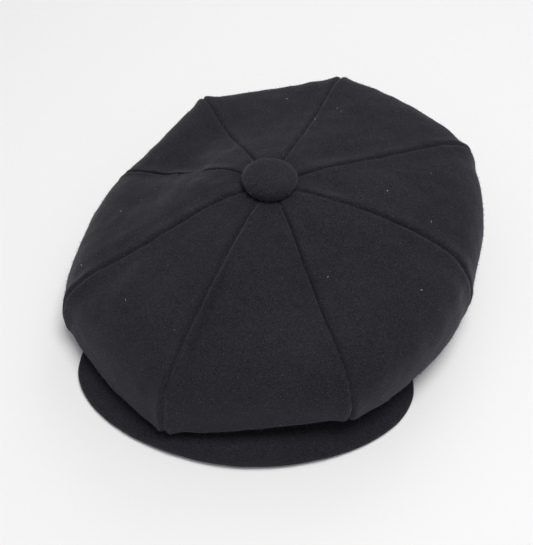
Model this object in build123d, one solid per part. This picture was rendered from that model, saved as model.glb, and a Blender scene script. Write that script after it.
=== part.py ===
"""Eight-panel newsboy cap, in millimetres.

The origin is the centre of the head opening, on the surface that the cap stands on. +Z is up, the peak
points to -Y, and +X is the wearer's left. Angles round the crown are in degrees from the peak (0) towards
+X (90), seen from above, and are measured about the crown's button.
"""
from build123d import *
from math import copysign, cos, radians, sin, sqrt
import os

# Head opening and the three layers of the band round it
OPENING_A = 80.0            # half the opening's width, along X
OPENING_B = 101.0           # half the opening's length, along Y: with OPENING_A, a 57 cm head
SWEATBAND_T = 1.2
STIFFENER_T = 0.8
OUTER_BAND_T = 2.0
BAND_HEIGHT = 22.0
STIFFENER_INSET = 1.0       # how far the hidden stiffener stays inside the band's two edges
SWEATBAND_LIFT = 0.5        # how far the sweatband's lower edge stays above the surface

# Crown: eight wool panels, and eight lining gores under them
CROWN_TOP = 98.0            # height of the wool at the button
BUTTON_X = 8.5              # the crown leans to one side, so its button stands off the opening's centre
BUTTON_Y = -4.0
CROWN_T = 2.4
NECK = 3.0                  # upright strip of each panel above the band
POINT_HOLE_R = 2.6          # the panels' points leave this hole for the button's shank
FOLD_SAG = 9.0              # how far the cloth under the fold hangs below a straight line to the band
SHOULDER = 0.66             # where along the reach the upper curve's middle point lies
LINING_T = 0.6
LINING_GAP = 1.6
LINING_DROP = 4.0           # the lining hangs this much lower than the wool at the button
LINING_HOLE_R = 0.8

# Each seam's angle, its reach from the button to the crown's fold, the fold's height, and how domed it is
# (1 is a straight slope, 3 is flat on top and steep at the edge)
SEAMS = [
    (-22.0, 139.5, 18.0, 3.4),
    (25.5, 131.5, 33.0, 2.1),
    (76.0, 133.0, 30.0, 4.4),
    (115.0, 147.0, 52.0, 4.6),
    (161.5, 137.0, 58.5, 2.5),
    (207.5, 123.5, 51.0, 1.7),
    (243.5, 121.5, 19.0, 1.8),
    (294.5, 138.5, 18.0, 2.2),
]

# The panel that starts at each seam, and how full it is: 1 is straight from seam to seam at the fold
PANELS = [
    ("front", 1.00),
    ("left_front", 1.07),
    ("left", 1.04),
    ("left_rear", 1.04),
    ("rear", 0.99),
    ("right_rear", 0.98),
    ("right", 1.06),
    ("right_front", 1.03),
]

# Peak
PEAK_HALF_WIDTH = 105.5
PEAK_WIDEST_Y = -84.0       # where along Y the peak is widest
PEAK_TIP_Y = -145.0
PEAK_ROUNDNESS = 1.85       # of the front edge: 2 is an ellipse, less is more pointed
PEAK_EDGE_STEPS = 6         # points that shape each half of the front edge
PEAK_REAR_REACH = 75.0      # how far the outline would run on behind its widest point
PEAK_CAMBER = 3.6           # how much lower the peak's sides are than its middle
PEAK_PITCH = 1.5            # degrees, nose down
PEAK_CLEARANCE = 0.3        # from the surface to the peak's lowest edge
PEAK_SEAM_GAP = 1.6         # between the peak's inner edge and the band, room for the sewn hinge
COVER_T = 1.5
BOARD_T = 1.2
BOARD_INSET = 4.0           # from the peak's outline to the board inside it
BOARD_PLAY = 0.2

# Button
BUTTON_R = 16.0
BUTTON_H = 7.0
BUTTON_EDGE_R = 3.2         # rounding of the button's rim
BUTTON_LIFT = 0.4           # between the button and the wool below it
BUTTON_COVER_T = 1.4
SHELL_T = 0.7
BACK_PLATE_T = 0.8
BACK_PLATE_PLAY = 0.2       # round the plate, inside the shell
BACK_PLATE_HOLE_R = 1.5
SHANK_WIRE_R = 0.5
SHANK_LOOP_R = 1.4
SHANK_HEAD_R = 2.4          # the flattened head that keeps the shank in the plate's hole
SHANK_HEAD_H = 0.6
KNOT_R = 3.6                # wider than the hole that the points leave, so it holds
KNOT_H = 1.0
KNOT_GAP = 0.4

os.makedirs("parts", exist_ok=True)

BAND_INNER = SWEATBAND_T + STIFFENER_T          # the outer band's inner face, out from the opening
BAND_OUTER = BAND_INNER + OUTER_BAND_T          # and its outer face
BUTTON_POINT = Vector(BUTTON_X, BUTTON_Y, 0)


def save(name, shape):
    shape.label = name
    export_step(shape, f"parts/{name}.step")


# ---------------------------------------------------------------- band

def ring(inner, thickness, low, high):
    """An upright oval strip whose inner face is `inner` out from the head opening."""
    outer = Ellipse(OPENING_A + inner + thickness, OPENING_B + inner + thickness)
    strip = outer - Ellipse(OPENING_A + inner, OPENING_B + inner)
    return Pos(0, 0, low) * extrude(strip, high - low)


def outer_band():
    return ring(BAND_INNER, OUTER_BAND_T, 0, BAND_HEIGHT)


def band_stiffener():
    return ring(SWEATBAND_T, STIFFENER_T, STIFFENER_INSET, BAND_HEIGHT - STIFFENER_INSET)


def sweatband():
    return ring(0, SWEATBAND_T, SWEATBAND_LIFT, BAND_HEIGHT)


# ---------------------------------------------------------------- crown

def reach_to_oval(angle, out):
    """Distance from the button's axis, along `angle`, to the oval that is `out` from the head opening."""
    a, b = OPENING_A + out, OPENING_B + out
    dx, dy = sin(radians(angle)), -cos(radians(angle))
    p = (dx / a) ** 2 + (dy / b) ** 2
    q = BUTTON_X * dx / a**2 + BUTTON_Y * dy / b**2
    r = (BUTTON_X / a) ** 2 + (BUTTON_Y / b) ** 2 - 1
    return (-q + sqrt(q * q - p * r)) / p


def outline(reach, fold, dome, inset, hole, drop, foot, foot_z):
    """Points of one side of a section: the hole, the shoulder, the fold, the underside and the foot.

    `inset` is how far this side lies inside the wool's outer face, and `drop` how far below it at the top.
    """
    top = CROWN_TOP - inset - drop
    fold_r = reach - inset
    shoulder_r = hole + (fold_r - hole) * SHOULDER
    shoulder_z = top - (top - fold) * SHOULDER**dome
    neck_z = foot_z + NECK + inset
    under_r = (reach + foot) / 2
    under_z = (fold + BAND_HEIGHT + NECK) / 2 - FOLD_SAG + inset
    return (hole, top), (shoulder_r, shoulder_z), (fold_r, fold), (under_r, under_z), (foot, neck_z)


def section(angle, reach, fold, dome, inset, thickness, drop, hole, foot_out, foot_in):
    """A closed section of a cloth gore, in the upright half plane at `angle` from the button's axis."""
    foot_r_out = reach_to_oval(angle, foot_out)
    foot_r_in = reach_to_oval(angle, foot_in)
    outer = outline(reach, fold, dome, inset, hole, drop, foot_r_out, BAND_HEIGHT)
    inner = outline(reach, fold, dome, inset + thickness, hole, drop, foot_r_in, BAND_HEIGHT)
    plane = Plane(origin=BUTTON_POINT, x_dir=(sin(radians(angle)), -cos(radians(angle)), 0),
                  z_dir=(-cos(radians(angle)), -sin(radians(angle)), 0))

    def at(point):
        return plane.from_local_coords(Vector(point[0], point[1], 0))

    def along(dr, dz):
        return plane.from_local_coords(Vector(dr, dz, 0)) - BUTTON_POINT

    def upper(side):
        return Edge.make_spline([at(side[0]), at(side[1]), at(side[2])], [along(1, 0), along(0, -1)])

    def lower(side):
        run = (side[4][0] - side[3][0], side[4][1] - side[3][1])
        return Edge.make_spline([at(side[2]), at(side[3]), at(side[4])], [along(0, -1), along(*run)])

    corners = [outer[4], (foot_r_out, BAND_HEIGHT), (foot_r_in, BAND_HEIGHT), inner[4]]
    foot = [Edge.make_line(at(p), at(q)) for p, q in zip(corners, corners[1:])]
    top = Edge.make_line(at(inner[0]), at(outer[0]))
    return Wire([upper(outer), lower(outer), *foot, lower(inner), upper(inner), top])


def stations_of(seam, next_seam, fullness):
    """The angle, reach, fold height and dome at a panel's two seams and in its middle."""
    angle, reach, fold, dome = ((a + b) / 2 for a, b in zip(seam, next_seam))
    chord = reach * cos(radians((next_seam[0] - seam[0]) / 2))
    return seam, (angle, chord * fullness, fold, dome), next_seam


def gore(stations, **layer):
    return Solid.make_loft([section(*station, **layer) for station in stations])


def crown_panel(stations):
    return gore(stations, inset=0, thickness=CROWN_T, drop=0, hole=POINT_HOLE_R,
                foot_out=BAND_OUTER, foot_in=BAND_INNER)


def lining_gore(stations):
    return gore(stations, inset=CROWN_T + LINING_GAP, thickness=LINING_T, drop=LINING_DROP,
                hole=LINING_HOLE_R, foot_out=SWEATBAND_T, foot_in=0)


# ---------------------------------------------------------------- peak

PEAK_T = 2 * COVER_T + BOARD_T
PEAK_RISE = PEAK_CAMBER + PEAK_CLEARANCE        # the middle of the underside, at the peak's widest line
CAMBER_R = (PEAK_HALF_WIDTH**2 + PEAK_CAMBER**2) / (2 * PEAK_CAMBER)


def peak_outline(inset, seam_gap):
    """The peak's crescent: full in front, round behind its widest line, less the band it is sewn round."""
    half_width = PEAK_HALF_WIDTH - inset
    front_reach = PEAK_WIDEST_Y - PEAK_TIP_Y - inset
    rear_reach = PEAK_REAR_REACH - inset
    power = 2 / PEAK_ROUNDNESS
    turns = [radians(90 * step / PEAK_EDGE_STEPS) for step in range(1 - PEAK_EDGE_STEPS, PEAK_EDGE_STEPS)]
    front_edge = [(half_width * copysign(abs(sin(turn)) ** power, turn),
                   PEAK_WIDEST_Y - front_reach * cos(turn) ** power) for turn in turns]
    left_end, right_end = (-half_width, PEAK_WIDEST_Y), (half_width, PEAK_WIDEST_Y)
    front = Spline(left_end, *front_edge, right_end, tangents=[(0, -1), (0, 1)], tangent_scalars=[1, 1])
    rear = EllipticalCenterArc((0, PEAK_WIDEST_Y), half_width, rear_reach, start_angle=0, arc_size=180)
    egg = make_face([*front.edges(), *rear.edges()])
    out = BAND_OUTER + seam_gap
    behind = Pos(0, 4 * PEAK_HALF_WIDTH) * Rectangle(8 * PEAK_HALF_WIDTH, 8 * PEAK_HALF_WIDTH)
    return egg - Ellipse(OPENING_A + out, OPENING_B + out) - behind


def peak_layer(low, high):
    """The cambered, pitched slab between two heights of the peak, wider than the peak itself."""
    length = 4 * PEAK_HALF_WIDTH
    slab = Cylinder(CAMBER_R + high, length) - Cylinder(CAMBER_R + low, length)
    slab &= Pos(0, CAMBER_R, 0) * Box(length, CAMBER_R, length)
    lying = Pos(0, PEAK_WIDEST_Y, PEAK_RISE) * Rot(PEAK_PITCH, 0, 0) * Pos(0, 0, -CAMBER_R) * Rot(90, 0, 0)
    return lying * slab


def peak_piece(inset, seam_gap, low, high):
    column = Pos(0, 0, -PEAK_HALF_WIDTH) * extrude(peak_outline(inset, seam_gap), 2 * PEAK_HALF_WIDTH)
    return column & peak_layer(low, high)


def peak_lower_cover():
    return peak_piece(0, PEAK_SEAM_GAP, 0, COVER_T)


def peak_board():
    return peak_piece(BOARD_INSET, PEAK_SEAM_GAP + BOARD_INSET, COVER_T, COVER_T + BOARD_T)


def peak_upper_cover():
    """The top cloth, turned down round the board to meet the lower cloth at the edge."""
    pocket = peak_piece(BOARD_INSET - BOARD_PLAY, PEAK_SEAM_GAP + BOARD_INSET - BOARD_PLAY,
                        COVER_T - 1, COVER_T + BOARD_T)
    return peak_piece(0, PEAK_SEAM_GAP, COVER_T, PEAK_T) - pocket


# ---------------------------------------------------------------- button

BUTTON_Z = CROWN_TOP + BUTTON_LIFT


def dome(radius, height, edge):
    """A shallow round cake with a softly domed top, standing on Z 0."""
    crown_rise = height - edge
    profile = Polyline((0, height), (0, 0), (radius, 0), (radius, crown_rise - edge * 0.4))
    profile += Spline((radius, crown_rise - edge * 0.4), (radius - edge * 0.75, height - edge * 0.45),
                      (0, height), tangents=[(0, 1), (-1, 0)])
    return revolve(Plane.XZ * make_face(profile.edges()), Axis.Z)


def on_button(shape, z=0.0):
    return Pos(BUTTON_X, BUTTON_Y, BUTTON_Z + z) * shape


def button_cover():
    inside = dome(BUTTON_R - BUTTON_COVER_T, BUTTON_H - BUTTON_COVER_T, BUTTON_EDGE_R)
    return on_button(dome(BUTTON_R, BUTTON_H, BUTTON_EDGE_R) - inside)


def button_shell():
    outer = dome(BUTTON_R - BUTTON_COVER_T, BUTTON_H - BUTTON_COVER_T, BUTTON_EDGE_R)
    inside = dome(BUTTON_R - BUTTON_COVER_T - SHELL_T, BUTTON_H - BUTTON_COVER_T - SHELL_T, BUTTON_EDGE_R)
    return on_button(outer - inside)


def button_back_plate():
    plate_r = BUTTON_R - BUTTON_COVER_T - SHELL_T - BACK_PLATE_PLAY
    plate = Pos(0, 0, BACK_PLATE_T / 2) * Cylinder(plate_r, BACK_PLATE_T)
    return on_button(plate - Cylinder(BACK_PLATE_HOLE_R, 4 * BACK_PLATE_T))


def button_shank():
    """The wire loop below the back plate, with a stem up through the plate's hole."""
    loop = Rot(90, 0, 0) * Torus(SHANK_LOOP_R, SHANK_WIRE_R)
    stem = Cylinder(SHANK_WIRE_R, BACK_PLATE_T, align=(Align.CENTER, Align.CENTER, Align.MIN))
    head = Cylinder(SHANK_HEAD_R, SHANK_HEAD_H, align=(Align.CENTER, Align.CENTER, Align.MIN))
    return on_button(Pos(0, 0, -SHANK_LOOP_R) * loop + stem + Pos(0, 0, BACK_PLATE_T) * head)


def button_thread():
    """The knot of thread under the loop, where the shank is sewn to the panels' points."""
    loop_bottom = -2 * SHANK_LOOP_R - SHANK_WIRE_R
    knot = Cylinder(KNOT_R, KNOT_H, align=(Align.CENTER, Align.CENTER, Align.MAX))
    return on_button(fillet(knot.edges(), KNOT_H * 0.4), loop_bottom - KNOT_GAP)


# ---------------------------------------------------------------- build

save("outer_band", outer_band())
save("band_stiffener", band_stiffener())
save("sweatband", sweatband())
first_seam_again = (SEAMS[0][0] + 360, *SEAMS[0][1:])
for (place, fullness), seam, next_seam in zip(PANELS, SEAMS, [*SEAMS[1:], first_seam_again]):
    stations = stations_of(seam, next_seam, fullness)
    save(f"crown_panel_{place}", crown_panel(stations))
    save(f"lining_gore_{place}", lining_gore(stations))
save("peak_upper_cover", peak_upper_cover())
save("peak_lower_cover", peak_lower_cover())
save("peak_board", peak_board())
save("button_cover", button_cover())
save("button_shell", button_shell())
save("button_back_plate", button_back_plate())
save("button_shank", button_shank())
save("button_thread", button_thread())
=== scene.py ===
# %% [markdown]
# # An eight-panel newsboy cap
# The cap is cut from milled wool flannel: eight gores meet under a covered button, a stiff peak is sewn to
# the front of a hidden band, and a satin lining hangs inside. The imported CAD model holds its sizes, joints
# and hidden parts. This lesson makes the cloth that is seen, one cell at a time, and keeps every piece where
# the CAD model says it is.

# %% The frame
import math

import bmesh
import bpy
import numpy as np
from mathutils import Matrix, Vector, noise
from mathutils.bvhtree import BVHTree


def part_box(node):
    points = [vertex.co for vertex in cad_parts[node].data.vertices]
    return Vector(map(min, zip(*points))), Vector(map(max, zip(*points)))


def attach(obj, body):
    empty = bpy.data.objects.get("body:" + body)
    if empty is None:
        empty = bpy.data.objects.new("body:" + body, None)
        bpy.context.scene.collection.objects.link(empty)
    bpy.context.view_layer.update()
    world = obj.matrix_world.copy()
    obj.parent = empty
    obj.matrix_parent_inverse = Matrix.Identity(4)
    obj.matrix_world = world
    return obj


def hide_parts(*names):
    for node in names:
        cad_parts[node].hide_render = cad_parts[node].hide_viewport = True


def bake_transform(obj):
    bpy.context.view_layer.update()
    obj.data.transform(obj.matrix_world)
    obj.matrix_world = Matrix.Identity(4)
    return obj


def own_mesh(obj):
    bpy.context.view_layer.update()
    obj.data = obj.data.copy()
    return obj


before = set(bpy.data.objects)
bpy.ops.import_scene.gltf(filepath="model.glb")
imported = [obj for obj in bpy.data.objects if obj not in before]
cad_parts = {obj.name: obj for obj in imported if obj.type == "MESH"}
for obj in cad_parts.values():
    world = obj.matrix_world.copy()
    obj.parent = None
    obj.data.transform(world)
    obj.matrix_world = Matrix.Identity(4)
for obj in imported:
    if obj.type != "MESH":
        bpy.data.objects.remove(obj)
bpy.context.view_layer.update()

MM = 0.001

# %% [markdown]
# ## Camera, floor and light
# A real photographer would stand the cap on a pale sweep, look down on it steeply, and hang one soft box
# almost straight above it, a little to the front. The crown is then lit evenly, light reaches the peak close
# under the crown's front fold, and upright sides, such as the button's, go dark. A weak box behind brings out
# the fuzz along the back edge, a faint one fills in from the left front, and an even sky fills the shadows.
# The camera comes first, because every later choice is judged through it.

# %% Camera
AIM = Vector((0.0, -0.010, 0.045))
CAMERA_DISTANCE = 0.600
CAMERA_AZIMUTH = math.radians(4.75)
CAMERA_ELEVATION = math.radians(50.7)
away = Vector((math.sin(CAMERA_AZIMUTH) * math.cos(CAMERA_ELEVATION),
               -math.cos(CAMERA_AZIMUTH) * math.cos(CAMERA_ELEVATION),
               math.sin(CAMERA_ELEVATION)))
camera = bpy.data.objects.new("camera", bpy.data.cameras.new("camera"))
camera.data.lens = 61.8
camera.data.shift_x = 0.0218
camera.data.shift_y = -0.0527
camera.location = AIM + away * CAMERA_DISTANCE
camera.rotation_mode = "QUATERNION"
camera.rotation_quaternion = (-away).to_track_quat("-Z", "Y")
bpy.context.scene.collection.objects.link(camera)
bpy.context.scene.camera = camera
bpy.context.scene.view_settings.view_transform = "Standard"
print("camera stands at", [round(c, 3) for c in camera.location])

# %% [markdown]
# Colours are written as sRGB hex values, as a swatch book gives them. Blender mixes light in linear numbers,
# so one function turns the first into the second. Another adds a node with its settings and its links, and
# three more build what every finish here is made of: soft noise, a mix of two colours, and relief.

# %% Helpers for colour and nodes


def linear(swatch):
    """The linear RGBA of an sRGB hex colour such as '#2c2b31'."""
    channels = [int(swatch[i:i + 2], 16) / 255 for i in (1, 3, 5)]
    return (*[c / 12.92 if c <= 0.04045 else ((c + 0.055) / 1.055) ** 2.4 for c in channels], 1.0)


def add(tree, kind, inputs=None, **settings):
    """Adds a node. An input is given a value, or the socket that it is linked from."""
    made = tree.nodes.new(kind)
    for name, value in settings.items():
        setattr(made, name, value)
    for name, value in (inputs or {}).items():
        if isinstance(value, bpy.types.NodeSocket):
            tree.links.new(value, made.inputs[name])
        else:
            made.inputs[name].default_value = value
    return made


def soft_noise(tree, place, size, detail=3.0, **more):
    """Noise that changes over about `size` metres."""
    values = {"Vector": place, "Scale": 1 / size, "Detail": detail, **more}
    return add(tree, "ShaderNodeTexNoise", values).outputs["Fac"]


def mix_colours(tree, shader, share, dark, light):
    """Gives the shader a colour between two hex colours."""
    shade = add(tree, "ShaderNodeMix", {"Factor": share}, data_type="RGBA")
    shade.inputs["A"].default_value = linear(dark)
    shade.inputs["B"].default_value = linear(light)
    tree.links.new(next(s for s in shade.outputs if s.type == "RGBA"), shader.inputs["Base Color"])


def add_relief(tree, shader, height, strength, distance, **under):
    """Gives the shader a bumpy surface, on top of any other relief."""
    values = {"Height": height, "Strength": strength, "Distance": distance, **under}
    bump = add(tree, "ShaderNodeBump", values)
    tree.links.new(bump.outputs["Normal"], shader.inputs["Normal"])


# %% Floor, sky and soft box
def new_material(name, **shader_values):
    """A material with only its Principled shader, and the values that are the same all over the surface."""
    material = bpy.data.materials.new(name)
    material.use_nodes = True
    tree = material.node_tree
    tree.nodes.clear()
    shader = add(tree, "ShaderNodeBsdfPrincipled",
                 {key.replace("_", " "): value for key, value in shader_values.items()})
    add(tree, "ShaderNodeOutputMaterial", {"Surface": shader.outputs["BSDF"]})
    return material, tree, shader


def mottled(name, dark, light, size, relief, **shader_values):
    """Two near colours in soft patches of about `size` metres, with relief, on object coordinates."""
    material, tree, shader = new_material(name, **shader_values)
    place = add(tree, "ShaderNodeTexCoord").outputs["Object"]
    patches = soft_noise(tree, place, size)
    mix_colours(tree, shader, patches, dark, light)
    add_relief(tree, shader, patches, 0.6, relief)
    return material


def mesh_object(name, points, faces, material):
    mesh = bpy.data.meshes.new(name)
    mesh.from_pydata([tuple(p) for p in points], [], [tuple(int(i) for i in f) for f in faces])
    mesh.materials.append(material)
    mesh.polygons.foreach_set("use_smooth", [True] * len(mesh.polygons))
    mesh.update()
    made = bpy.data.objects.new(name, mesh)
    bpy.context.scene.collection.objects.link(made)
    return made


def area_light(name, place, aim, size, power, colour="#ffffff"):
    light = bpy.data.lights.new(name, "AREA")
    light.shape, light.size, light.energy, light.color = "DISK", size, power, linear(colour)[:3]
    lamp = bpy.data.objects.new(name, light)
    lamp.location = place
    lamp.rotation_mode = "QUATERNION"
    lamp.rotation_quaternion = (Vector(aim) - Vector(place)).to_track_quat("-Z", "Y")
    bpy.context.scene.collection.objects.link(lamp)


FLOOR_HALF = 4.0
paper, _, paper_shader = new_material("pale_paper_sweep", Base_Color=linear("#e8e8e9"), Roughness=0.9)
floor_corners = [(-FLOOR_HALF, -FLOOR_HALF, -0.0002), (FLOOR_HALF, -FLOOR_HALF, -0.0002),
                 (FLOOR_HALF, FLOOR_HALF, -0.0002), (-FLOOR_HALF, FLOOR_HALF, -0.0002)]
floor = mesh_object("floor", floor_corners, [(0, 1, 2, 3)], paper)
# the paper is clear from below, so that the lining can be looked at; from above nothing changes
paper_nodes = paper.node_tree
face_side = add(paper_nodes, "ShaderNodeNewGeometry").outputs["Backfacing"]
clear = add(paper_nodes, "ShaderNodeBsdfTransparent").outputs[0]
one_sided = add(paper_nodes, "ShaderNodeMixShader", {0: face_side, 1: paper_shader.outputs["BSDF"], 2: clear})
paper_nodes.links.new(one_sided.outputs[0], next(n for n in paper_nodes.nodes
                                                 if n.type == "OUTPUT_MATERIAL").inputs["Surface"])

world = bpy.data.worlds.new("sky")
world.use_nodes = True
world.node_tree.nodes["Background"].inputs["Color"].default_value = linear("#fbfcff")
world.node_tree.nodes["Background"].inputs["Strength"].default_value = 0.42
bpy.context.scene.world = world
area_light("soft_box", (0.22, -0.22, 1.50), (0.0, -0.02, 0.03), 0.70, 17.0, "#fffdfa")
area_light("rear_fill", (0.30, 1.10, 0.95), (0.0, 0.0, 0.03), 0.8, 3.0)
area_light("front_fill", (-0.70, -1.00, 0.30), (-0.02, -0.05, 0.03), 1.0, 1.0)

# %% [markdown]
# ## The wool
# Milled flannel is woven, then felted until its weave can't be seen, so it has no thread pattern: only a
# cloudy mottle where the nap lies this way or that, and short hairs of a slightly lighter grey. It is nearly
# black. The hairs scatter light sideways, so its edges look paler, which is the sheen. Real hairs are about
# 0.02 mm thick and would never show, so the mottle is drawn at just under a millimetre, as the eye groups it.

# %% Wool material
HAIR_CLUMP = 0.80 * MM
NAP_CLOUD = 7.0 * MM
DYE_CLOUD = 38.0 * MM


def milled_wool(name, dark="#111115", light="#2e2d34"):
    """Felted wool: rough, with sheen, a fine mottle and soft clouds in its nap."""
    material, tree, shader = new_material(name, Roughness=0.95, Sheen_Weight=0.13, Sheen_Roughness=0.45,
                                          Sheen_Tint=linear("#c9c8d6"), Specular_IOR_Level=0.18)
    place = add(tree, "ShaderNodeTexCoord").outputs["Object"]
    hairs = soft_noise(tree, place, HAIR_CLUMP, Roughness=0.75)
    nap = soft_noise(tree, place, NAP_CLOUD, detail=4.0, Roughness=0.6, Distortion=0.4)
    dye = soft_noise(tree, place, DYE_CLOUD, detail=2.0)
    shares = []
    for value, low, high, least, most in ((hairs, 0.36, 0.66, 0.0, 0.84), (nap, 0.3, 0.7, -0.05, 0.06),
                                          (dye, 0.3, 0.7, -0.05, 0.07)):
        spread = add(tree, "ShaderNodeMapRange", {"Value": value, "From Min": low, "From Max": high,
                                                  "To Min": least, "To Max": most})
        shares.append(spread.outputs["Result"])
    clouds = add(tree, "ShaderNodeMath", {0: shares[1], 1: shares[2]})
    share = add(tree, "ShaderNodeMath", {0: shares[0], 1: clouds.outputs["Value"]}, use_clamp=True)
    mix_colours(tree, shader, share.outputs["Value"], dark, light)
    soft = add(tree, "ShaderNodeBump", {"Height": nap, "Strength": 0.55, "Distance": 0.5 * MM})
    add_relief(tree, shader, hairs, 0.8, 0.30 * MM, Normal=soft.outputs["Normal"])
    return material


WOOL = milled_wool("milled_wool_flannel")
print("wool mottle:", HAIR_CLUMP / MM, "mm in clouds of", NAP_CLOUD / MM, "mm")

# %% [markdown]
# ## Measuring the crown
# The crown is a bag of eight gores. Its CAD solids are plain, but they have the right size and slouch, so the
# cloth is laid over them. A tape held in an upright plane through the button gives one curve from the button,
# over the fold, to the band. Rays stand in for the tape: each comes in from outside, towards a spot inside
# the crown, and stops at the skin.

# %% The crown's pole, band and seams
PLACES = ["front", "left_front", "left", "left_rear", "rear", "right_rear", "right", "right_front"]
button_low, button_high = (Vector(c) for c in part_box("button_cover"))
pole = (button_low + button_high) / 2
band_high = Vector(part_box("outer_band")[1])
BAND_TOP = band_high.z
CROWN_TOP = max(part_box(f"crown_panel_{place}")[1][2] for place in PLACES)
POINT_R = 3.0 * MM          # where a gore's point ends, under the button


def skin_of(*names):
    """A search tree over the merged triangles of CAD nodes."""
    joined = bmesh.new()
    for name in names:
        joined.from_mesh(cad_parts[name].data)
    tree = BVHTree.FromBMesh(joined)
    joined.free()
    return tree


def length_along(points):
    """How far along a line of points each of them is."""
    return np.concatenate([[0], np.cumsum(np.linalg.norm(np.diff(points, axis=0), axis=1))])


def outward(angle):
    return np.array([math.sin(angle), -math.cos(angle), 0.0])


def seams_of(name):
    """The angles about the pole, from the peak towards +X, at which a gore starts and ends."""
    points = np.array([v.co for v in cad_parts[name].data.vertices])[:, :2] - np.array(pole)[:2]
    points = points[np.hypot(*points.T) > 50 * MM]
    angles = np.arctan2(points[:, 0], -points[:, 1])
    middle = math.atan2(np.sin(angles).mean(), np.cos(angles).mean())
    turned = (angles - middle + math.pi) % (2 * math.pi) - math.pi
    return middle + turned.min(), middle + turned.max()


def reach_to_oval(angle, half_x, half_y):
    """Distance from the pole, along `angle`, to an upright oval about the head opening's centre."""
    dx, dy = outward(angle)[:2]
    p = (dx / half_x) ** 2 + (dy / half_y) ** 2
    q = pole.x * dx / half_x**2 + pole.y * dy / half_y**2
    r = (pole.x / half_x) ** 2 + (pole.y / half_y) ** 2 - 1
    return (-q + math.sqrt(q * q - p * r)) / p


SEAMS = {place: seams_of(f"crown_panel_{place}") for place in PLACES}
print("seams, degrees:", [round(math.degrees(SEAMS[place][0])) for place in PLACES])

# %% The tape: one curve from the button to the band
RAYS = 220
HEART_SHARE = 0.90          # the rays aim at a spot this share of the way out to the band
HEART_RISE = 8.0 * MM       # and this far above it
FAR = 0.35


def tape(tree, angle, rows, top, foot, from_outside=True):
    """`rows` even points along the skin, from near the pole at height `top` to `foot` at the band."""
    u = outward(angle)
    heart_r, heart_z = foot * HEART_SHARE, BAND_TOP + HEART_RISE
    first = math.atan2(top - heart_z, POINT_R - heart_r)
    last = math.atan2(BAND_TOP + 0.4 * MM - heart_z, foot - heart_r)
    heart = Vector((*(np.array(pole)[:2] + u[:2] * heart_r), heart_z))
    found = []
    for turn in np.linspace(first, last, RAYS):
        way = Vector((*(u[:2] * math.cos(turn)), math.sin(turn)))
        start, direction = (heart + way * FAR, -way) if from_outside else (heart, way)
        hit = tree.ray_cast(start, direction)[0]
        if hit is not None:
            found.append(hit)
    found = np.array(found)
    along = length_along(found)
    even = np.linspace(0, along[-1], rows)
    return np.stack([np.interp(even, along, found[:, k]) for k in range(3)], -1)


def gore_rows(tree, seams, rows, tapes, top, half_x, half_y, from_outside=True):
    """A rows by tapes grid of points on a gore, with the tapes at even angles from seam to seam."""
    hair = math.radians(0.02)
    angles = np.linspace(seams[0] + hair, seams[1] - hair, tapes)
    return np.stack([tape(tree, a, rows, top, reach_to_oval(a, half_x, half_y), from_outside)
                     for a in angles], 1)


# %% [markdown]
# ## Sewing the gores
# A seam in thick wool isn't a line but a small valley: both gores turn down into it, the turned-in allowance
# lifts a soft shoulder on each side, and the stitching shortens the cloth, so it ripples. Each gore is a grid
# whose columns crowd towards its seams, so that the valley has enough points. The shape is moved along the
# cloth's normal, and a second skin inside closes it, because real cloth has two sides. Each gore is shaped on
# its own, so at the end the edges of neighbours are drawn together until they nearly touch, as a seam holds
# them.

# %% Cloth grids
WOOL_T = 1.7 * MM


def crowd_columns(grid, columns, near=4.5 * MM):
    """Spreads each row's points again, closer together within about `near` of both ends of the row."""
    out = np.empty((grid.shape[0], columns, 3))
    even = np.linspace(0, 1, columns)
    for i, row in enumerate(grid):
        along = length_along(row)
        width = along[-1]
        half = width / 2
        edge = np.minimum(even, 1 - even) * width
        room = min(near, half)
        drawn = edge**2 / (edge + room) * (half + room) / half
        spots = np.where(even <= 0.5, drawn, width - drawn)
        out[i] = np.stack([np.interp(spots, along, row[:, k]) for k in range(3)], -1)
    return out


def outward_normals(grid, lean=(0.0, 0.0, 1.0)):
    """Unit normals of a grid, turned so that its upper quarter faces the way that `lean` points."""
    n = np.cross(np.gradient(grid, axis=0), np.gradient(grid, axis=1))
    n /= np.maximum(np.linalg.norm(n, axis=2, keepdims=True), 1e-12)
    return n if n[len(n) // 4, n.shape[1] // 2] @ np.array(lean) > 0 else -n


def distances(grid):
    """Each point's distance from the row's first and last points, and from the column's first point."""
    across = np.linalg.norm(np.diff(grid, axis=1), axis=2)
    left = np.concatenate([np.zeros((grid.shape[0], 1)), np.cumsum(across, axis=1)], axis=1)
    down = np.linalg.norm(np.diff(grid, axis=0), axis=2)
    length = np.concatenate([np.zeros((1, grid.shape[1])), np.cumsum(down, axis=0)], axis=0)
    return left, left[:, -1:] - left, length


def add_cloth_map(made, across_and_along):
    """A UV map in metres, across and along the cloth, from one pair for each of the mesh's points."""
    layer = made.data.uv_layers.new(name="cloth")
    corners = np.empty(len(made.data.loops), int)
    made.data.loops.foreach_get("vertex_index", corners)
    layer.data.foreach_set("uv", across_and_along[corners].astype(np.float32).ravel())


def face_outwards(made):
    shell = bmesh.new()
    shell.from_mesh(made.data)
    bmesh.ops.recalc_face_normals(shell, faces=shell.faces)
    shell.to_mesh(made.data)
    shell.free()


def face_like(made, heart):
    """Turns an open mesh's faces away from a point that it wraps."""
    shell = bmesh.new()
    shell.from_mesh(made.data)
    inward = [f for f in shell.faces if (f.calc_center_median() - heart).dot(f.normal) < 0]
    bmesh.ops.reverse_faces(shell, faces=inward)
    shell.to_mesh(made.data)
    shell.free()


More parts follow.
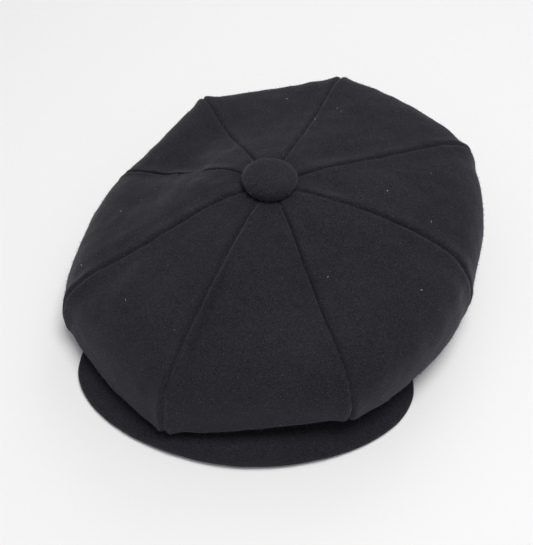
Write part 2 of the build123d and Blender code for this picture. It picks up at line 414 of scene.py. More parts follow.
def cut_of(grid):
    """A cloth's width, length and area once its rows are laid flat, one above the other."""
    across = np.linalg.norm(np.diff(grid, axis=1), axis=2).sum(1)
    middle = grid[:, grid.shape[1] // 2]
    along = np.linalg.norm(np.diff(middle, axis=0), axis=1)
    corner_a, corner_b, corner_c, corner_d = grid[:-1, :-1], grid[1:, :-1], grid[1:, 1:], grid[:-1, 1:]
    halves = (np.linalg.norm(np.cross(corner_b - corner_a, corner_c - corner_a), axis=2)
              + np.linalg.norm(np.cross(corner_c - corner_a, corner_d - corner_a), axis=2)) / 2
    return float(across.max()), float(along.sum()), float(halves.sum())


def grid_faces(rows, columns, first=0):
    """The four-sided faces of a grid of points that are numbered row by row."""
    spot = np.arange(rows * columns).reshape(rows, columns) + first
    return np.stack([spot[:-1, :-1], spot[1:, :-1], spot[1:, 1:], spot[:-1, 1:]], -1).reshape(-1, 4)


def closed_cloth(name, outer, inner, material):
    """One closed mesh from two grids of the same size: the outside, the inside and the rim between them."""
    rows, columns = outer.shape[:2]
    points = np.concatenate([outer.reshape(-1, 3), inner.reshape(-1, 3)])
    spot = np.arange(rows * columns).reshape(rows, columns)
    front = grid_faces(rows, columns)
    back = front[:, ::-1] + rows * columns
    rim = np.concatenate([spot[0, :], spot[1:, -1], spot[-1, -2::-1], spot[-2:0:-1, 0]])
    after = np.roll(rim, -1)
    wall = np.stack([rim, after, after + rows * columns, rim + rows * columns], -1)
    made = mesh_object(name, points, np.concatenate([front, back, wall]), material)
    left, _, down = distances(outer)
    once = np.stack([left, down], -1).reshape(-1, 2)
    add_cloth_map(made, np.concatenate([once, once]))
    face_outwards(made)
    return made


def ripple(points, size, seed):
    """Smooth noise, about -1 to 1, that changes over `size` metres."""
    shift = Vector((seed * 7.13, seed * 3.71, seed * 5.29))
    flat = points.reshape(-1, 3) / size
    return np.array([noise.noise(Vector(p) + shift) for p in flat]).reshape(points.shape[:-1]) * 2.0


# %% [markdown]
# The cap has been squashed in a bag and shaken out again, so a few soft creases stay. Each one is a straight
# run across a gore, given by where it starts and ends: millimetres from the gore's first seam, and
# millimetres down from the button.

# %% Creases that wear has left
CREASES = {
    "front": [((6, 58), (11, 134), -3.3, 2.5), ((17, 56), (22, 130), 1.2, 5.0)],
    "left_front": [((34, 24), (64, 44), -3.0, 9.0), ((20, 96), (64, 120), -1.3, 9.0)],
    "left": [((6, 18), (10, 48), -2.6, 8.0), ((30, 90), (62, 112), 1.0, 9.0)],
    "left_rear": [((14, 25), (16, 60), -1.8, 9.0)],
    "rear": [((20, 34), (34, 96), -1.3, 10.0)],
    "right_rear": [((28, 44), (46, 92), -1.8, 5.5), ((38, 40), (58, 84), 1.2, 5.5)],
    "right": [((50, 66), (86, 122), 2.0, 6.5), ((22, 60), (40, 104), -1.5, 9.0),
              ((30, 34), (20, 62), -1.2, 7.0)],
    "right_front": [((10, 84), (40, 118), 1.4, 8.0), ((24, 70), (50, 112), -1.4, 8.0)],
}


def crease_depth(across, down, crease):
    """How far one crease moves the cloth, in metres: a soft trough or ridge that fades at its ends."""
    (x0, y0), (x1, y1), depth, width = crease
    run = np.array([x1 - x0, y1 - y0], float)
    x, y = across / MM - x0, down / MM - y0
    share = np.clip((x * run[0] + y * run[1]) / run.dot(run), 0, 1)
    off = np.hypot(x - share * run[0], y - share * run[1])
    fade = 0.25 + 0.75 * np.sin(np.pi * np.clip(share, 0.0, 1.0))
    return depth * MM * np.exp(-(off / width) ** 2) * fade


# %% Crown gores
GORE_ROWS, GORE_COLUMNS, GORE_TAPES = ((132, 61, 33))
VALLEY_DEPTH = 2.0 * MM     # how far the cloth turns down at a seam
VALLEY_HALF = 1.05 * MM
SHOULDER_RISE = 0.30 * MM
SHOULDER_AT = 3.2 * MM
PUCKER_RISE = 0.38 * MM
PUCKER_LENGTH = 15.0 * MM
FULLNESS = 0.9 * MM         # how far a gore's middle swells past the plain shape


DIMPLE_DEPTH = 2.6 * MM     # the button's stitches pull the points down
DIMPLE_R = 21.0 * MM
LINING_CLEAR = 3.3 * MM     # how deep the inside of the wool may go before it meets the lining
# The light runs along this seam and would hide it, so its valley is made this much deeper and wider.
SEAM_PULL = {-22: (1.45, 1.45)}


def across_seams(place, left, right):
    """How much deeper and wider the nearer seam's valley is, at each point of a gore."""
    first, last = (SEAM_PULL.get(round((math.degrees(angle) + 180) % 360 - 180), (1.0, 1.0))
                   for angle in SEAMS[place])
    nearer_first = (left <= right)[..., None]
    both = np.where(nearer_first, np.array(first), np.array(last))
    return both[..., 0], both[..., 1]


def sewn_shape(place, grid, normals, seed):
    """How far each point of a plain gore moves along its normal, once it is sewn and worn."""
    left, right, down = distances(grid)
    deeper, wider = across_seams(place, left, right)
    near = np.minimum(left, right)
    width = left[:, -1:]
    total = down[-1:, :]
    uneven = 1 + 0.35 * ripple(grid, 7 * MM, 5)
    valley = -VALLEY_DEPTH * deeper * np.exp(-(near / (VALLEY_HALF * wider * uneven)) ** 2)
    shoulder = SHOULDER_RISE * np.exp(-((near - SHOULDER_AT) / (2.2 * MM)) ** 2)
    hollow = -0.5 * MM * np.exp(-((near - 11 * MM) / (5 * MM)) ** 2)
    puckers = PUCKER_RISE * ripple(grid, PUCKER_LENGTH, seed) * np.exp(-(near / (9 * MM)) ** 2)
    swell = FULLNESS * np.sin(np.pi * left / width) * np.sin(np.pi * np.clip(down / total, 0, 1)) ** 0.8
    slack = 0.7 * MM * ripple(grid, 46 * MM, seed + 20) * np.clip(near / (14 * MM), 0, 1)
    hand = 0.30 * MM * ripple(grid, 11 * MM, seed + 40)
    worn = sum(crease_depth(left, down, crease) for crease in CREASES[place])
    calm = np.clip((down - 4 * MM) / (18 * MM), 0, 1) * np.clip((total - down) / (8 * MM), 0, 1)
    moved = (shoulder + hollow + puckers + swell + slack + hand + worn) * calm
    tight = np.clip((total - down) / (5 * MM), 0.25, 1)
    from_pole = np.hypot(grid[..., 0] - pole.x, grid[..., 1] - pole.y)
    dimple = -DIMPLE_DEPTH * np.exp(-(from_pole / DIMPLE_R) ** 4)
    return np.maximum(valley * tight + moved + dimple, -LINING_CLEAR + 0.3 * MM)


def draw_together(skins, reach=4 * MM, share=0.8):
    """Moves the edges of neighbouring gores towards each other, less and less away from the seam."""
    for number, skin in enumerate(skins):
        before = skins[number - 1]
        apart = before[:, -1] - skin[:, 0]
        left, _, _ = distances(skin)
        _, right, _ = distances(before)
        skin += apart[:, None] / 2 * share * np.exp(-(left / reach) ** 2)[..., None]
        before -= apart[:, None] / 2 * share * np.exp(-(right / reach) ** 2)[..., None]
    return max(np.linalg.norm(skins[k][:, 0] - skins[k - 1][:, -1], axis=1).max() for k in range(len(skins)))


panel_tree = skin_of(*[f"crown_panel_{place}" for place in PLACES])
half_x, half_y = band_high.x, band_high.y
crown_panels, crown_skins, crown_cuts, crown_insides = [], [], [], []
for number, place in enumerate(PLACES):
    plain = gore_rows(panel_tree, SEAMS[place], GORE_ROWS, GORE_TAPES, CROWN_TOP, half_x, half_y)
    plain = crowd_columns(plain, GORE_COLUMNS)
    normals = outward_normals(plain)
    moved = sewn_shape(place, plain, normals, number + 1)
    crown_skins.append(plain + normals * moved[..., None])
    thick = moved - np.maximum(moved - WOOL_T, -LINING_CLEAR)
    crown_insides.append(-normals * thick[..., None])
    crown_cuts.append(cut_of(plain))
print("widest opening left at a seam:", round(draw_together(crown_skins) / MM, 2), "mm")
for place, outside, inwards in zip(PLACES, crown_skins, crown_insides):
    panel = closed_cloth(f"crown_panel_{place}", outside, outside + inwards, WOOL)
    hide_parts(f"crown_panel_{place}")
    crown_panels.append(panel)
    print(place, "gore:", len(panel.data.polygons), "faces")

# %% [markdown]
# ## The lining
# Behind the wool hangs a satin lining of eight gores, cut a little smaller, so it falls clear of the wool and
# sags between its seams. It is seen only from below, so its tape is held from the inside: the rays start at
# the heart of each gore and stop at the lining's inner face. Satin is woven with long floats, which give it a
# soft streak of gloss and no visible threads.

# %% Satin material
SATIN_FLOAT = 0.35 * MM


def lining_satin(name):
    material, tree, shader = new_material(name, Roughness=0.52, Specular_IOR_Level=0.35, Sheen_Weight=0.12,
                                          Anisotropic=0.45)
    place = add(tree, "ShaderNodeTexCoord").outputs["UV"]
    floats = add(tree, "ShaderNodeTexWave", {"Vector": place, "Scale": math.pi / (10 * SATIN_FLOAT),
                                             "Distortion": 1.2, "Detail": 2.0, "Detail Scale": 3.0},
                 bands_direction="X")
    mix_colours(tree, shader, soft_noise(tree, place, 9 * MM), "#1c1c22", "#2b2b33")
    add_relief(tree, shader, floats.outputs["Fac"], 0.35, 0.06 * MM)
    return material


SATIN = lining_satin("lining_satin")

# %% Lining gores
LINING_ROWS, LINING_COLUMNS = ((90, 37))
LINING_T = 0.35 * MM
LINING_VALLEY = 0.8 * MM
LINING_SAG = 2.2 * MM


def hung_shape(grid, normals, seed):
    """The lining's gore hangs away from the wool in soft folds, and is held along its seams."""
    left, right, down = distances(grid)
    near = np.minimum(left, right)
    total = down[-1:, :]
    calm = np.clip(down / (20 * MM), 0, 1) * np.clip((total - down) / (14 * MM), 0, 1)
    loose = np.clip(near / (16 * MM), 0, 1) * calm
    sag = -LINING_SAG * (0.6 + 0.5 * ripple(grid, 24 * MM, seed)) * loose
    puckers = 0.35 * MM * ripple(grid, 9 * MM, seed + 11) * np.exp(-(near / (8 * MM)) ** 2) * calm
    valley = LINING_VALLEY * np.exp(-(near / (0.8 * MM)) ** 2)
    return grid + normals * (sag + puckers + valley)[..., None]


lining_tree = skin_of(*[f"lining_gore_{place}" for place in PLACES])
lining_top = max(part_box(f"lining_gore_{place}")[1][2] for place in PLACES)
sweat_high = Vector(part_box("sweatband")[1])
SWEAT_T = 1.2 * MM
opening_x, opening_y = sweat_high.x - SWEAT_T, sweat_high.y - SWEAT_T
linings, lining_cuts = [], []
for number, place in enumerate(PLACES):
    plain = gore_rows(lining_tree, SEAMS[place], LINING_ROWS, GORE_TAPES, lining_top - 0.6 * MM,
                      opening_x, opening_y, from_outside=False)
    plain = crowd_columns(plain, LINING_COLUMNS, near=3 * MM)
    normals = outward_normals(plain)
    inside = hung_shape(plain, normals, number + 60)
    gore = closed_cloth(f"lining_gore_{place}", inside + normals * LINING_T, inside, SATIN)
    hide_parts(f"lining_gore_{place}")
    lining_cuts.append(cut_of(plain))
    linings.append(gore)
print("lining gores:", len(linings), "of", len(linings[0].data.polygons), "faces")

# %% [markdown]
# ## The band
# The crown ends in an upright band of the same wool, hidden by the slouch. Its lower edge is turned in under
# the buckram, so that no raw edge shows, and a ribbed tape, the sweatband, lines it. Each is an upright oval
# strip, so one function carries a closed section round the oval.

# %% Strips that go round the head
RING_STEPS = 288


def head_oval():
    """Turns about the head from the centre back, and the band's outer face and its normals there."""
    turns = np.linspace(math.pi, 3 * math.pi, RING_STEPS, endpoint=False)
    base = np.stack([half_x * np.sin(turns), -half_y * np.cos(turns), 0 * turns], -1)
    out = np.stack([half_y * np.sin(turns), -half_x * np.cos(turns), 0 * turns], -1)
    return turns, base, out / np.linalg.norm(out, axis=1, keepdims=True)


def round_the_head(name, section, material, wave=0.0, seed=0):
    """Carries a closed section, points of (distance outside the band, height), round the oval."""
    turns, base, out = head_oval()
    lap = length_along(base)
    wobble = wave * np.array([noise.noise(Vector((math.sin(t) * 3, math.cos(t) * 3, seed))) for t in turns])
    section = np.array(section) * MM
    grid = (base[:, None] + out[:, None] * (section[None, :, :1] + wobble[:, None, None])
            + np.array([0, 0, 1]) * section[None, :, 1:])
    rows, columns = grid.shape[:2]
    spot = np.arange(rows * columns).reshape(rows, columns)
    a, b = spot, np.roll(spot, -1, 0)
    faces = np.stack([a, b, np.roll(b, -1, 1), np.roll(a, -1, 1)], -1).reshape(-1, 4)
    made = mesh_object(name, grid.reshape(-1, 3), faces, material)
    around = np.repeat(lap, columns)
    add_cloth_map(made, np.stack([around, grid.reshape(-1, 3)[:, 2]], -1))
    face_outwards(made)
    return made


def smooth_section(corners):
    """Rounds a closed section by cutting its corners twice, so a strip's edges turn softly."""
    points = np.array(corners, float)
    for _ in range(2):
        after = np.roll(points, -1, 0)
        points = np.stack([0.75 * points + 0.25 * after, 0.25 * points + 0.75 * after], 1).reshape(-1, 2)
    return points


# %% Outer band, with its lower edge turned in
top = BAND_TOP / MM
outer_section = smooth_section([(-1.2, top), (0.0, top - 0.1), (0.0, top - 2.0), (0.0, top * 0.6),
                                (0.0, top * 0.3), (0.0, 1.6), (0.0, 0.0), (-1.4, 0.0), (-2.9, 0.0),
                                (-2.9, 0.8), (-1.9, 0.9), (-1.6, 2.2), (-1.6, top * 0.5), (-1.6, top - 2.0),
                                (-1.9, top)])
outer_band = round_the_head("outer_band", outer_section, WOOL, wave=0.35 * MM)
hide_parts("outer_band")
print("band:", round(2 * half_x / MM), "by", round(2 * half_y / MM), "mm")

# %% [markdown]
# The sweatband is a grosgrain tape: stout ribs run across its width, about one each millimetre. The ribs are
# real relief in the mesh's own map, which runs along the tape, so they stay upright all the way round the
# oval.

# %% Sweatband
RIB_PITCH = 1.0 * MM


def grosgrain(name):
    material, tree, shader = new_material(name, Roughness=0.8, Sheen_Weight=0.2, Specular_IOR_Level=0.3)
    place = add(tree, "ShaderNodeTexCoord").outputs["UV"]
    # at scale 1 a wave node's bands repeat each 2 * pi / 20 of a metre, so here they are a pitch apart
    ribs = add(tree, "ShaderNodeTexWave", {"Vector": place, "Scale": math.pi / (10 * RIB_PITCH)},
               bands_direction="X")
    # the colour follows the ribs' relief: painted shade in the troughs between ribs and painted light on
    # their crests
    mix_colours(tree, shader, ribs.outputs["Fac"], "#141418", "#2a2a30")
    add_relief(tree, shader, ribs.outputs["Fac"], 0.8, 0.3 * MM)
    return material


GROSGRAIN = grosgrain("sweatband_grosgrain")
inner = (opening_x - half_x) / MM
sweat_section = smooth_section([(inner, top), (inner, top - 1.2), (inner, top * 0.5), (inner, 2.0),
                                (inner, 0.5), (inner + 0.6, 0.5), (inner + 1.1, 0.5), (inner + 1.1, 2.0),
                                (inner + 1.1, top * 0.5), (inner + 1.1, top - 1.2), (inner + 1.1, top)])
sweatband = round_the_head("sweatband", sweat_section, GROSGRAIN, wave=0.0)
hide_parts("sweatband")
print("sweatband inside:", round(2 * opening_x / MM), "by", round(2 * opening_y / MM), "mm")

# %% [markdown]
# ## The peak
# A plastic board in the shape of a crescent is wrapped in two pieces of wool, sewn together round the front
# edge and turned, so the edge is a soft roll with a fine seam in its middle. The board's outline is found by
# dropping rays on the CAD peak: the furthest hit in each direction is the edge. Then the two cloths are grids
# from the band out to that edge, and their last rows go round a quarter circle each.

# %% The peak's outline and height
peak_tree = skin_of("peak_upper_cover", "peak_lower_cover")
PEAK_STATIONS = 141
DROP = 0.06
PEAK_T = 4.2 * MM
EDGE_R = PEAK_T / 2


def peak_heights(x, y):
    """The top and the underside of the peak at a place, or None outside it."""
    above = peak_tree.ray_cast(Vector((x, y, DROP)), Vector((0, 0, -1)))[0]
    below = peak_tree.ray_cast(Vector((x, y, -DROP)), Vector((0, 0, 1)))[0]
    return None if above is None or below is None else (above.z, below.z)


def peak_edge(turn, low, high):
    """The furthest distance from the opening's centre, between low and high, that is still on the peak."""
    way = outward(turn)
    for reach in np.linspace(high, low, 120):
        if peak_heights(*(way[:2] * reach)):
            inside, out = reach, reach + (high - low) / 119
            for _ in range(10):
                middle = (inside + out) / 2
                inside, out = (middle, out) if peak_heights(*(way[:2] * middle)) else (inside, middle)
            return inside
    return None


def oval_reach(turn, half_a, half_b):
    return 1 / math.hypot(math.sin(turn) / half_a, math.cos(turn) / half_b)


SEAM_ROOM = 1.7 * MM
peak_turns, peak_reaches = [], []
for turn in np.radians(np.linspace(-67.5, 67.5, 541)):
    nearest = oval_reach(turn, half_x + SEAM_ROOM, half_y + SEAM_ROOM)
    reach = peak_edge(turn, nearest, 0.165)
    if reach is not None and reach > nearest + 0.4 * MM:
        peak_turns.append(turn)
        peak_reaches.append(reach)
edge = np.array([outward(t) * r for t, r in zip(peak_turns, peak_reaches)])
edge_run = length_along(edge)
even_run = np.linspace(0, edge_run[-1], PEAK_STATIONS)
edge = np.stack([np.interp(even_run, edge_run, edge[:, k]) for k in range(3)], -1)
edge_turns = np.arctan2(edge[:, 0], -edge[:, 1])
root = np.array([outward(t) * oval_reach(t, half_x + 0.25 * MM, half_y + 0.25 * MM) for t in edge_turns])
print("peak edge:", round(edge_run[-1] / MM), "mm long, peak", round(np.ptp(edge[:, 0]) / MM), "mm wide")


# %% The two cloths of the peak
def middle_height(points):
    """The height of the peak's middle surface, carried on past its edge from the nearest place inside."""
    found = []
    for x, y, _ in points.reshape(-1, 3):
        for pull in (1.0, 0.99, 0.97, 0.94, 0.9):
            heights = peak_heights(x * pull, y * pull) or peak_heights(x * (2 - pull), y * (2 - pull))
            if heights:
                break
        found.append(sum(heights) / 2 if heights else math.nan)
    found = np.array(found).reshape(points.shape[:-1])
    return np.where(np.isnan(found), np.nanmean(found), found)


ROLL_STEPS = 6
PEAK_RUNS = 22
widths = np.linalg.norm(edge - root, axis=1)
roll = np.minimum(EDGE_R, widths * 0.45)
roll_turns = np.linspace(0.0, math.pi / 2, ROLL_STEPS)
rows = []
for t in roll_turns:
    crimp = 0.35 * MM * math.exp(-(math.sin(t) / 0.28) ** 2)
    rows.append((roll * (1 - math.cos(t)) + crimp, roll * math.sin(t)))
for share in np.linspace(0, 1, PEAK_RUNS)[1:]:
    rows.append((roll + (widths - roll) * share, roll))
toward = (root - edge) / widths[:, None]
flat_places = np.stack([edge + toward * d[:, None] for d, _ in rows], 0)
lift = np.stack([h for _, h in rows], 0)
middle = middle_height(flat_places)
peak_top = flat_places + np.array([0, 0, 1.0]) * (middle + lift)[..., None]
peak_under = flat_places + np.array([0, 0, 1.0]) * (middle - lift)[..., None]
COVER_T = 1.2 * MM
HAND = 0.16 * MM
covers = {}
for name, skin, up in (("peak_upper_cover", peak_top, 1), ("peak_lower_cover", peak_under, -1)):
    normals = outward_normals(skin, lean=(0, -0.05, up))
    skin = skin + normals * (HAND * ripple(skin, 13 * MM, 80 + up))[..., None]
    covers[name] = closed_cloth(name, skin, skin - normals * COVER_T, WOOL)
    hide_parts(name)
print("peak covers:", [len(c.data.polygons) for c in covers.values()], "faces")

# %% [markdown]
# The board has the right shape in CAD, but it bends with the peak, so a copy of its mesh, with its loose
# triangles merged, takes its place.

# %% Peak board
plastic = mottled("board_polyethylene", "#131316", "#1f1f23", 6 * MM, 0.05 * MM, Roughness=0.5)


def copy_of(node, material):
    """A merged copy of a CAD node's mesh that can bend, in the node's place."""
    joined = bmesh.new()
    joined.from_mesh(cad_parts[node].data)
    bmesh.ops.remove_doubles(joined, verts=joined.verts, dist=0.001 * MM)
    mesh = bpy.data.meshes.new(node)
    joined.to_mesh(mesh)
    joined.free()
    mesh.materials.clear()
    mesh.materials.append(material)
    made = bpy.data.objects.new(f"{node}_bending", mesh)
    bpy.context.scene.collection.objects.link(made)
    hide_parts(node)
    return made


board = copy_of("peak_board", plastic)

# %% [markdown]
# ## The button
# A disc of the same wool is gathered over a pressed shell, so its top is smooth and its side has small pleats
# where the gathering thread pulls the cloth in underneath. It is turned like a pot: a profile that starts and
# ends on the axis, carried round, with the pleats as a ripple in its radius.

# %% Covered button
BUTTON_COLUMNS = 96
PLEATS = 19
button_r = (button_high.x - button_low.x) / 2
button_h = button_high.z - button_low.z
BULGE = 0.9 * MM            # the padding swells past the shell
SINK = 2.0 * MM             # and sits down into the wool
LEAN = 2.2 * MM             # its top stands higher at the front than the pole, and lower behind
side_z = 0.10 * button_h
full_r = button_r + BULGE
bun = [(0.0, 1.08), (0.35, 1.07), (0.60, 1.03), (0.75, 0.96), (0.85, 0.85), (0.92, 0.70), (0.97, 0.54),
       (0.99, 0.40), (0.98, 0.22), (0.955, 0.04)]
outer_profile = [(full_r * r, button_h * z) for r, z in bun]
outer_profile += [(full_r * 0.94, -0.35 * SINK), (full_r * 0.93, -0.70 * SINK), (full_r * 0.91, -0.93 * SINK),
                  (full_r * 0.86, -SINK), (full_r * 0.78, -SINK)]
inner_profile = [(max(0.0, r - 1.15 * MM), max(z - 1.1 * MM, -SINK + 0.35 * MM))
                 for r, z in outer_profile[:-2]]
profile = outer_profile + inner_profile[::-1]
turns = np.linspace(0, 2 * math.pi, BUTTON_COLUMNS, endpoint=False)
points, rings = [(pole.x, pole.y, button_low.z + profile[0][1])], []
for number, (r, z) in enumerate(profile[1:-1]):
    drawn_in = min(1.0, max(0.0, 1 - z / side_z)) if number < len(outer_profile) else 0.0
    ring = []
    for t in turns:
        pleat = 0.30 * MM * drawn_in * (math.cos(PLEATS * t + 1.3 * math.sin(3 * t)) - 0.6)
        soft = 0.12 * MM * noise.noise(Vector((math.sin(t) * r, math.cos(t) * r, z)) / (5 * MM))
        leaning = LEAN * min(1.0, max(0.0, z / button_h)) * r / full_r * math.cos(t)
        ring.append(len(points))
        points.append((pole.x + (r + pleat) * math.sin(t), pole.y - (r + pleat) * math.cos(t),
                       button_low.z + z + leaning + (soft if r < 0.8 * button_r else 0.0)))
    rings.append(ring)
points.append((pole.x, pole.y, button_low.z + profile[-1][1]))
faces = [(0, rings[0][i], rings[0][(i + 1) % BUTTON_COLUMNS]) for i in range(BUTTON_COLUMNS)]
for one, two in zip(rings, rings[1:]):
    faces += [(one[i], two[i], two[(i + 1) % BUTTON_COLUMNS], one[(i + 1) % BUTTON_COLUMNS])
              for i in range(BUTTON_COLUMNS)]
faces += [(len(points) - 1, rings[-1][(i + 1) % BUTTON_COLUMNS], rings[-1][i]) for i in range(BUTTON_COLUMNS)]
button = mesh_object("button_cover", points, faces, WOOL)
button_ground = mesh_object("button_ground", points[:1 + 9 * BUTTON_COLUMNS],
                            faces[:9 * BUTTON_COLUMNS], WOOL)
face_outwards(button)
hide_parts("button_cover")
print("button:", round(2 * button_r / MM, 1), "mm across,", PLEATS, "pleats")

# %% Hidden hardware
pressed_metal = mottled("button_pressed_aluminium", "#b3b3b7", "#d0d0d3", 2.5 * MM, 0.03 * MM, Metallic=1.0,
                        Roughness=0.38)
wire = mottled("shank_steel_wire", "#98989b", "#bebec0", 1.2 * MM, 0.02 * MM, Metallic=1.0, Roughness=0.28)
waxed = mottled("waxed_button_thread", "#101013", "#26262b", 0.5 * MM, 0.10 * MM, Roughness=0.6)
buckram = mottled("band_buckram", "#b3ac9b", "#d6d0c0", 0.9 * MM, 0.20 * MM, Roughness=0.9)
for node_name, material in (("button_shell", pressed_metal), ("button_back_plate", pressed_metal),
                            ("button_shank", wire), ("button_thread", waxed), ("band_stiffener", buckram)):
    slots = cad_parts[node_name].material_slots
    slots[0].material = material

# %% [markdown]
# ## Stitches, nap and lint
# What repeats is made with Geometry Nodes: one tree walks along a line and lays a stitch at each step, and
# one scatters fibres over cloth. A fibre is a short bent hair, closed, with three sides, because thousands of
# them have to stay light. The wool's own hairs stand up a little, and catch the light along the edges. Pale
# lint clings to a dark cap whatever its owner does.

# %% Trees that repeat a thing
def work_out(tree, operation, a, b):
    return add(tree, "ShaderNodeMath", {0: a, 1: b}, operation=operation).outputs["Value"]


def vector_of(tree, **parts):
    return add(tree, "ShaderNodeCombineXYZ", parts).outputs["Vector"]


def new_tree(name, **inputs):
    """A geometry tree with named inputs, its input node and its output node."""
    tree = bpy.data.node_groups.new(name, "GeometryNodeTree")
    tree.interface.new_socket("Geometry", in_out="INPUT", socket_type="NodeSocketGeometry")
    for label, value in inputs.items():
        kind = "NodeSocketInt" if isinstance(value, int) else "NodeSocketFloat"
        tree.interface.new_socket(label.replace("_", " "), in_out="INPUT", socket_type=kind)
    tree.interface.new_socket("Geometry", in_out="OUTPUT", socket_type="NodeSocketGeometry")
    return tree, add(tree, "NodeGroupInput"), add(tree, "NodeGroupOutput")


def run_tree(name, source, tree, body_material, **inputs):
    """Runs a tree on a source object, and turns what it makes into a plain mesh object."""
    modifier = source.modifiers.new(name, "NODES")
    modifier.node_group = tree
    for item in tree.interface.items_tree:
        label = item.name.replace(" ", "_")
        if item.in_out == "INPUT" and label in inputs:
            modifier[item.identifier] = inputs[label]
    evaluated = source.evaluated_get(bpy.context.evaluated_depsgraph_get())
    mesh = bpy.data.meshes.new_from_object(evaluated)
    mesh.name = name
    made = bpy.data.objects.new(name, mesh)
    bpy.context.scene.collection.objects.link(made)
    source.modifiers.remove(modifier)
    bpy.data.objects.remove(source)
    mesh.materials.clear()
    mesh.materials.append(body_material)
    mesh.polygons.foreach_set("material_index", [0] * len(mesh.polygons))
    print(name, len(mesh.polygons), "faces")
    return made


def hand_back(tree, result, laid, material):
    """Ends a tree: makes its instances real, gives them their material and hands them back."""
    real = add(tree, "GeometryNodeRealizeInstances", {"Geometry": laid.outputs["Instances"]})
    dressed = add(tree, "GeometryNodeSetMaterial", {"Geometry": real.outputs["Geometry"],
                                                    "Material": material})
    tree.links.new(dressed.outputs["Geometry"], result.inputs["Geometry"])
    return tree


# %% The stitch tree
def stitch_tree(name, material):
    """Lays a short, closed stitch at each step of the line that its geometry's edges draw."""
    tree, given, result = new_tree(name, Pitch=0.003, Length=0.002, Thickness=0.0004, Wander=0.0001, Seed=1)
    line = add(tree, "GeometryNodeMeshToCurve", {"Mesh": given.outputs["Geometry"]})
    steps = add(tree, "GeometryNodeResampleCurve", {"Curve": line.outputs["Curve"],
                                                    "Length": given.outputs["Pitch"]}, mode="LENGTH")
    wander = given.outputs["Wander"]
    off = add(tree, "FunctionNodeRandomValue", {2: work_out(tree, "MULTIPLY", wander, -1.0), 3: wander,
                                                "Seed": given.outputs["Seed"]})
    uneven = add(tree, "GeometryNodeSetPosition", {"Geometry": steps.outputs["Curve"],
                                                   "Offset": vector_of(tree, Z=off.outputs[1])})
    bead = add(tree, "GeometryNodeMeshUVSphere", {"Segments": 6, "Rings": 5, "Radius": 0.5})
    thick = given.outputs["Thickness"]
    sizes = vector_of(tree, X=given.outputs["Length"], Y=thick, Z=thick)
    stitch = add(tree, "GeometryNodeTransform", {"Geometry": bead.outputs["Mesh"], "Scale": sizes})
    run = add(tree, "GeometryNodeInputTangent")
    along = add(tree, "FunctionNodeAlignRotationToVector", {"Vector": run.outputs["Tangent"]}, axis="X")
    laid = add(tree, "GeometryNodeInstanceOnPoints", {"Points": uneven.outputs["Geometry"],
                                                      "Instance": stitch.outputs["Geometry"],
                                                      "Rotation": along.outputs["Rotation"]})
    return hand_back(tree, result, laid, material)


# %% The row of stitches that holds the sweatband
THREAD = mottled("sewing_thread", "#2c2c32", "#45454d", 0.6 * MM, 0.05 * MM, Roughness=0.6)
_, oval, oval_out = head_oval()
row = oval + oval_out * (inner - 0.05) * MM + np.array([0, 0, 3.0 * MM])
line_mesh = bpy.data.meshes.new("stitch_line")
line_mesh.from_pydata([tuple(p) for p in row], [(i, (i + 1) % len(row)) for i in range(len(row))], [])
stitch_line = bpy.data.objects.new("stitch_line", line_mesh)
bpy.context.scene.collection.objects.link(stitch_line)
sweatband_stitches = run_tree("sweatband_stitches", stitch_line, stitch_tree("stitches", THREAD), THREAD,
                              Pitch=3.0 * MM, Length=2.2 * MM, Thickness=0.45 * MM, Wander=0.1 * MM, Seed=5)

# %% The fibre tree
def fibre_tree(name, material):
    """Scatters bent, closed, three-sided hairs on the faces of its geometry."""
    tree, given, result = new_tree(name, Count_per_m2=1.0, Length=0.002, Thickness=0.0001, Lean=0.8, Seed=1)
    bend = {"Resolution": 2, "Start": (0.0, 0.0, -0.05), "Middle": (0.05, 0.0, 0.45),
            "End": (0.6, 0.25, 0.62)}
    arc = add(tree, "GeometryNodeCurveQuadraticBezier", bend)
    ring = add(tree, "GeometryNodeCurvePrimitiveCircle", {"Resolution": 3})
    ratio = work_out(tree, "DIVIDE", given.outputs["Thickness"], given.outputs["Length"])
    thin = add(tree, "GeometryNodeTransform", {"Geometry": ring.outputs["Curve"],
                                               "Scale": vector_of(tree, X=ratio, Y=ratio, Z=1.0)})
    hair = add(tree, "GeometryNodeCurveToMesh", {"Curve": arc.outputs["Curve"], "Fill Caps": True,
                                                 "Profile Curve": thin.outputs["Geometry"]})
    spots = add(tree, "GeometryNodeDistributePointsOnFaces", {"Mesh": given.outputs["Geometry"],
                                                              "Density": given.outputs["Count per m2"],
                                                              "Seed": given.outputs["Seed"]})
    lean = given.outputs["Lean"]
    back = work_out(tree, "MULTIPLY", lean, -1.0)
    turn = add(tree, "FunctionNodeRandomValue", {0: vector_of(tree, X=back, Y=back),
                                                 1: vector_of(tree, X=lean, Y=lean, Z=2 * math.pi),
                                                 "Seed": given.outputs["Seed"]}, data_type="FLOAT_VECTOR")
    turned = add(tree, "FunctionNodeRotateRotation", {"Rotation": spots.outputs["Rotation"],
                                                      "Rotate By": turn.outputs[0]}, rotation_space="LOCAL")
    size = add(tree, "FunctionNodeRandomValue", {2: 0.45, 3: 1.35, "Seed": given.outputs["Seed"]})
    scale = work_out(tree, "MULTIPLY", size.outputs[1], given.outputs["Length"])
    laid = add(tree, "GeometryNodeInstanceOnPoints", {"Points": spots.outputs["Points"],
                                                      "Instance": hair.outputs["Mesh"],
                                                      "Rotation": turned.outputs["Rotation"],
                                                      "Scale": scale})
    return hand_back(tree, result, laid, material)


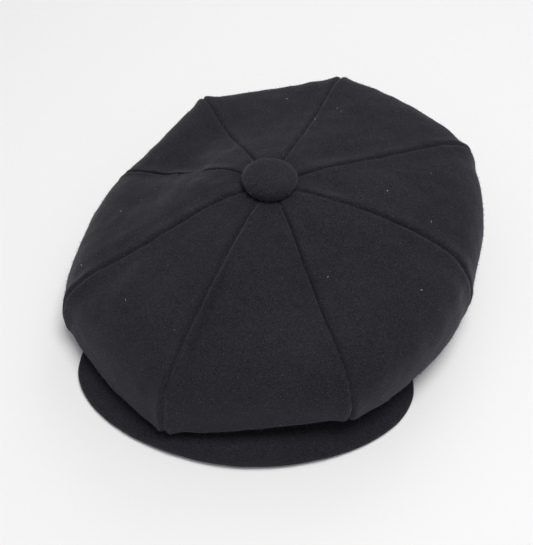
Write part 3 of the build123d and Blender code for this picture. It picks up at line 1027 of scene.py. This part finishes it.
WOOL_HAIR = mottled("wool_hair", "#222127", "#3a3940", 2.0 * MM, 0.01 * MM, Roughness=0.9, Sheen_Weight=0.3,
                    Specular_IOR_Level=0.2)
LINT = mottled("pale_lint", "#b2b2b7", "#dadadd", 4.0 * MM, 0.01 * MM, Roughness=0.9)
NAP_TREE = fibre_tree("wool_nap", WOOL_HAIR)
LINT_TREE = fibre_tree("lint", LINT)


def open_skin(name, grids):
    """The visible side of some cloth, as a mesh to scatter on."""
    points, faces, first = [], [], 0
    for grid in grids:
        faces.append(grid_faces(*grid.shape[:2], first))
        points.append(grid.reshape(-1, 3))
        first += len(points[-1])
    made = mesh_object(name, np.concatenate(points), np.concatenate(faces), WOOL)
    face_like(made, pole + Vector((0, 0, -60 * MM)))
    return made


# %% Nap and lint
NAP = dict(Length=1.15 * MM, Thickness=0.045 * MM, Lean=0.8, Seed=3)
NAP_DENSITY = 2.2e5
face_like(button_ground, pole - Vector((0, 0, 20 * MM)))
button_nap = run_tree("button_nap", button_ground, NAP_TREE, WOOL_HAIR, Count_per_m2=2 * NAP_DENSITY, **NAP)
crown_naps = [run_tree(f"crown_nap_{side}", open_skin("crown_ground", skins), NAP_TREE, WOOL_HAIR,
                       Count_per_m2=NAP_DENSITY, **NAP)
              for side, skins in (("left_front", crown_skins[:2]), ("left_rear", crown_skins[2:4]),
                                  ("right_rear", crown_skins[4:6]), ("right_front", crown_skins[6:]))]
crown_lint = run_tree("crown_lint", open_skin("lint_ground", crown_skins), LINT_TREE, LINT,
                      Count_per_m2=5e2, Length=1.5 * MM, Thickness=0.10 * MM, Lean=1.6, Seed=11)
peak_nap = run_tree("peak_nap", open_skin("peak_ground", [peak_top[::-1]]), NAP_TREE, WOOL_HAIR,
                    Count_per_m2=NAP_DENSITY, **NAP)

# %% [markdown]
# ## Riding on the joints
# The crown is soft, so when it is pressed down its cloth flattens towards the band and the button goes down
# with it. The peak is held along its seam, so it bends from the seam outwards. The button turns a little on
# its thread. Here the pieces are only hung on their bodies. The crown's gores, lining, nap and lint, each
# with a mesh of its own, go on the band, and so do the band, sweatband and stitches. The button and its nap
# go on the button. The peak's covers, board and nap stay where they are, with their place fixed into their
# meshes.

# %% Bodies
for piece in [*crown_panels, *linings, *crown_naps, crown_lint]:
    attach(piece, "band")
    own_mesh(piece)
for piece in [*covers.values(), board, peak_nap]:
    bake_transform(piece)
for piece in (outer_band, sweatband, sweatband_stitches):
    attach(piece, "band")
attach(button, "button")
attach(button_nap, "button")
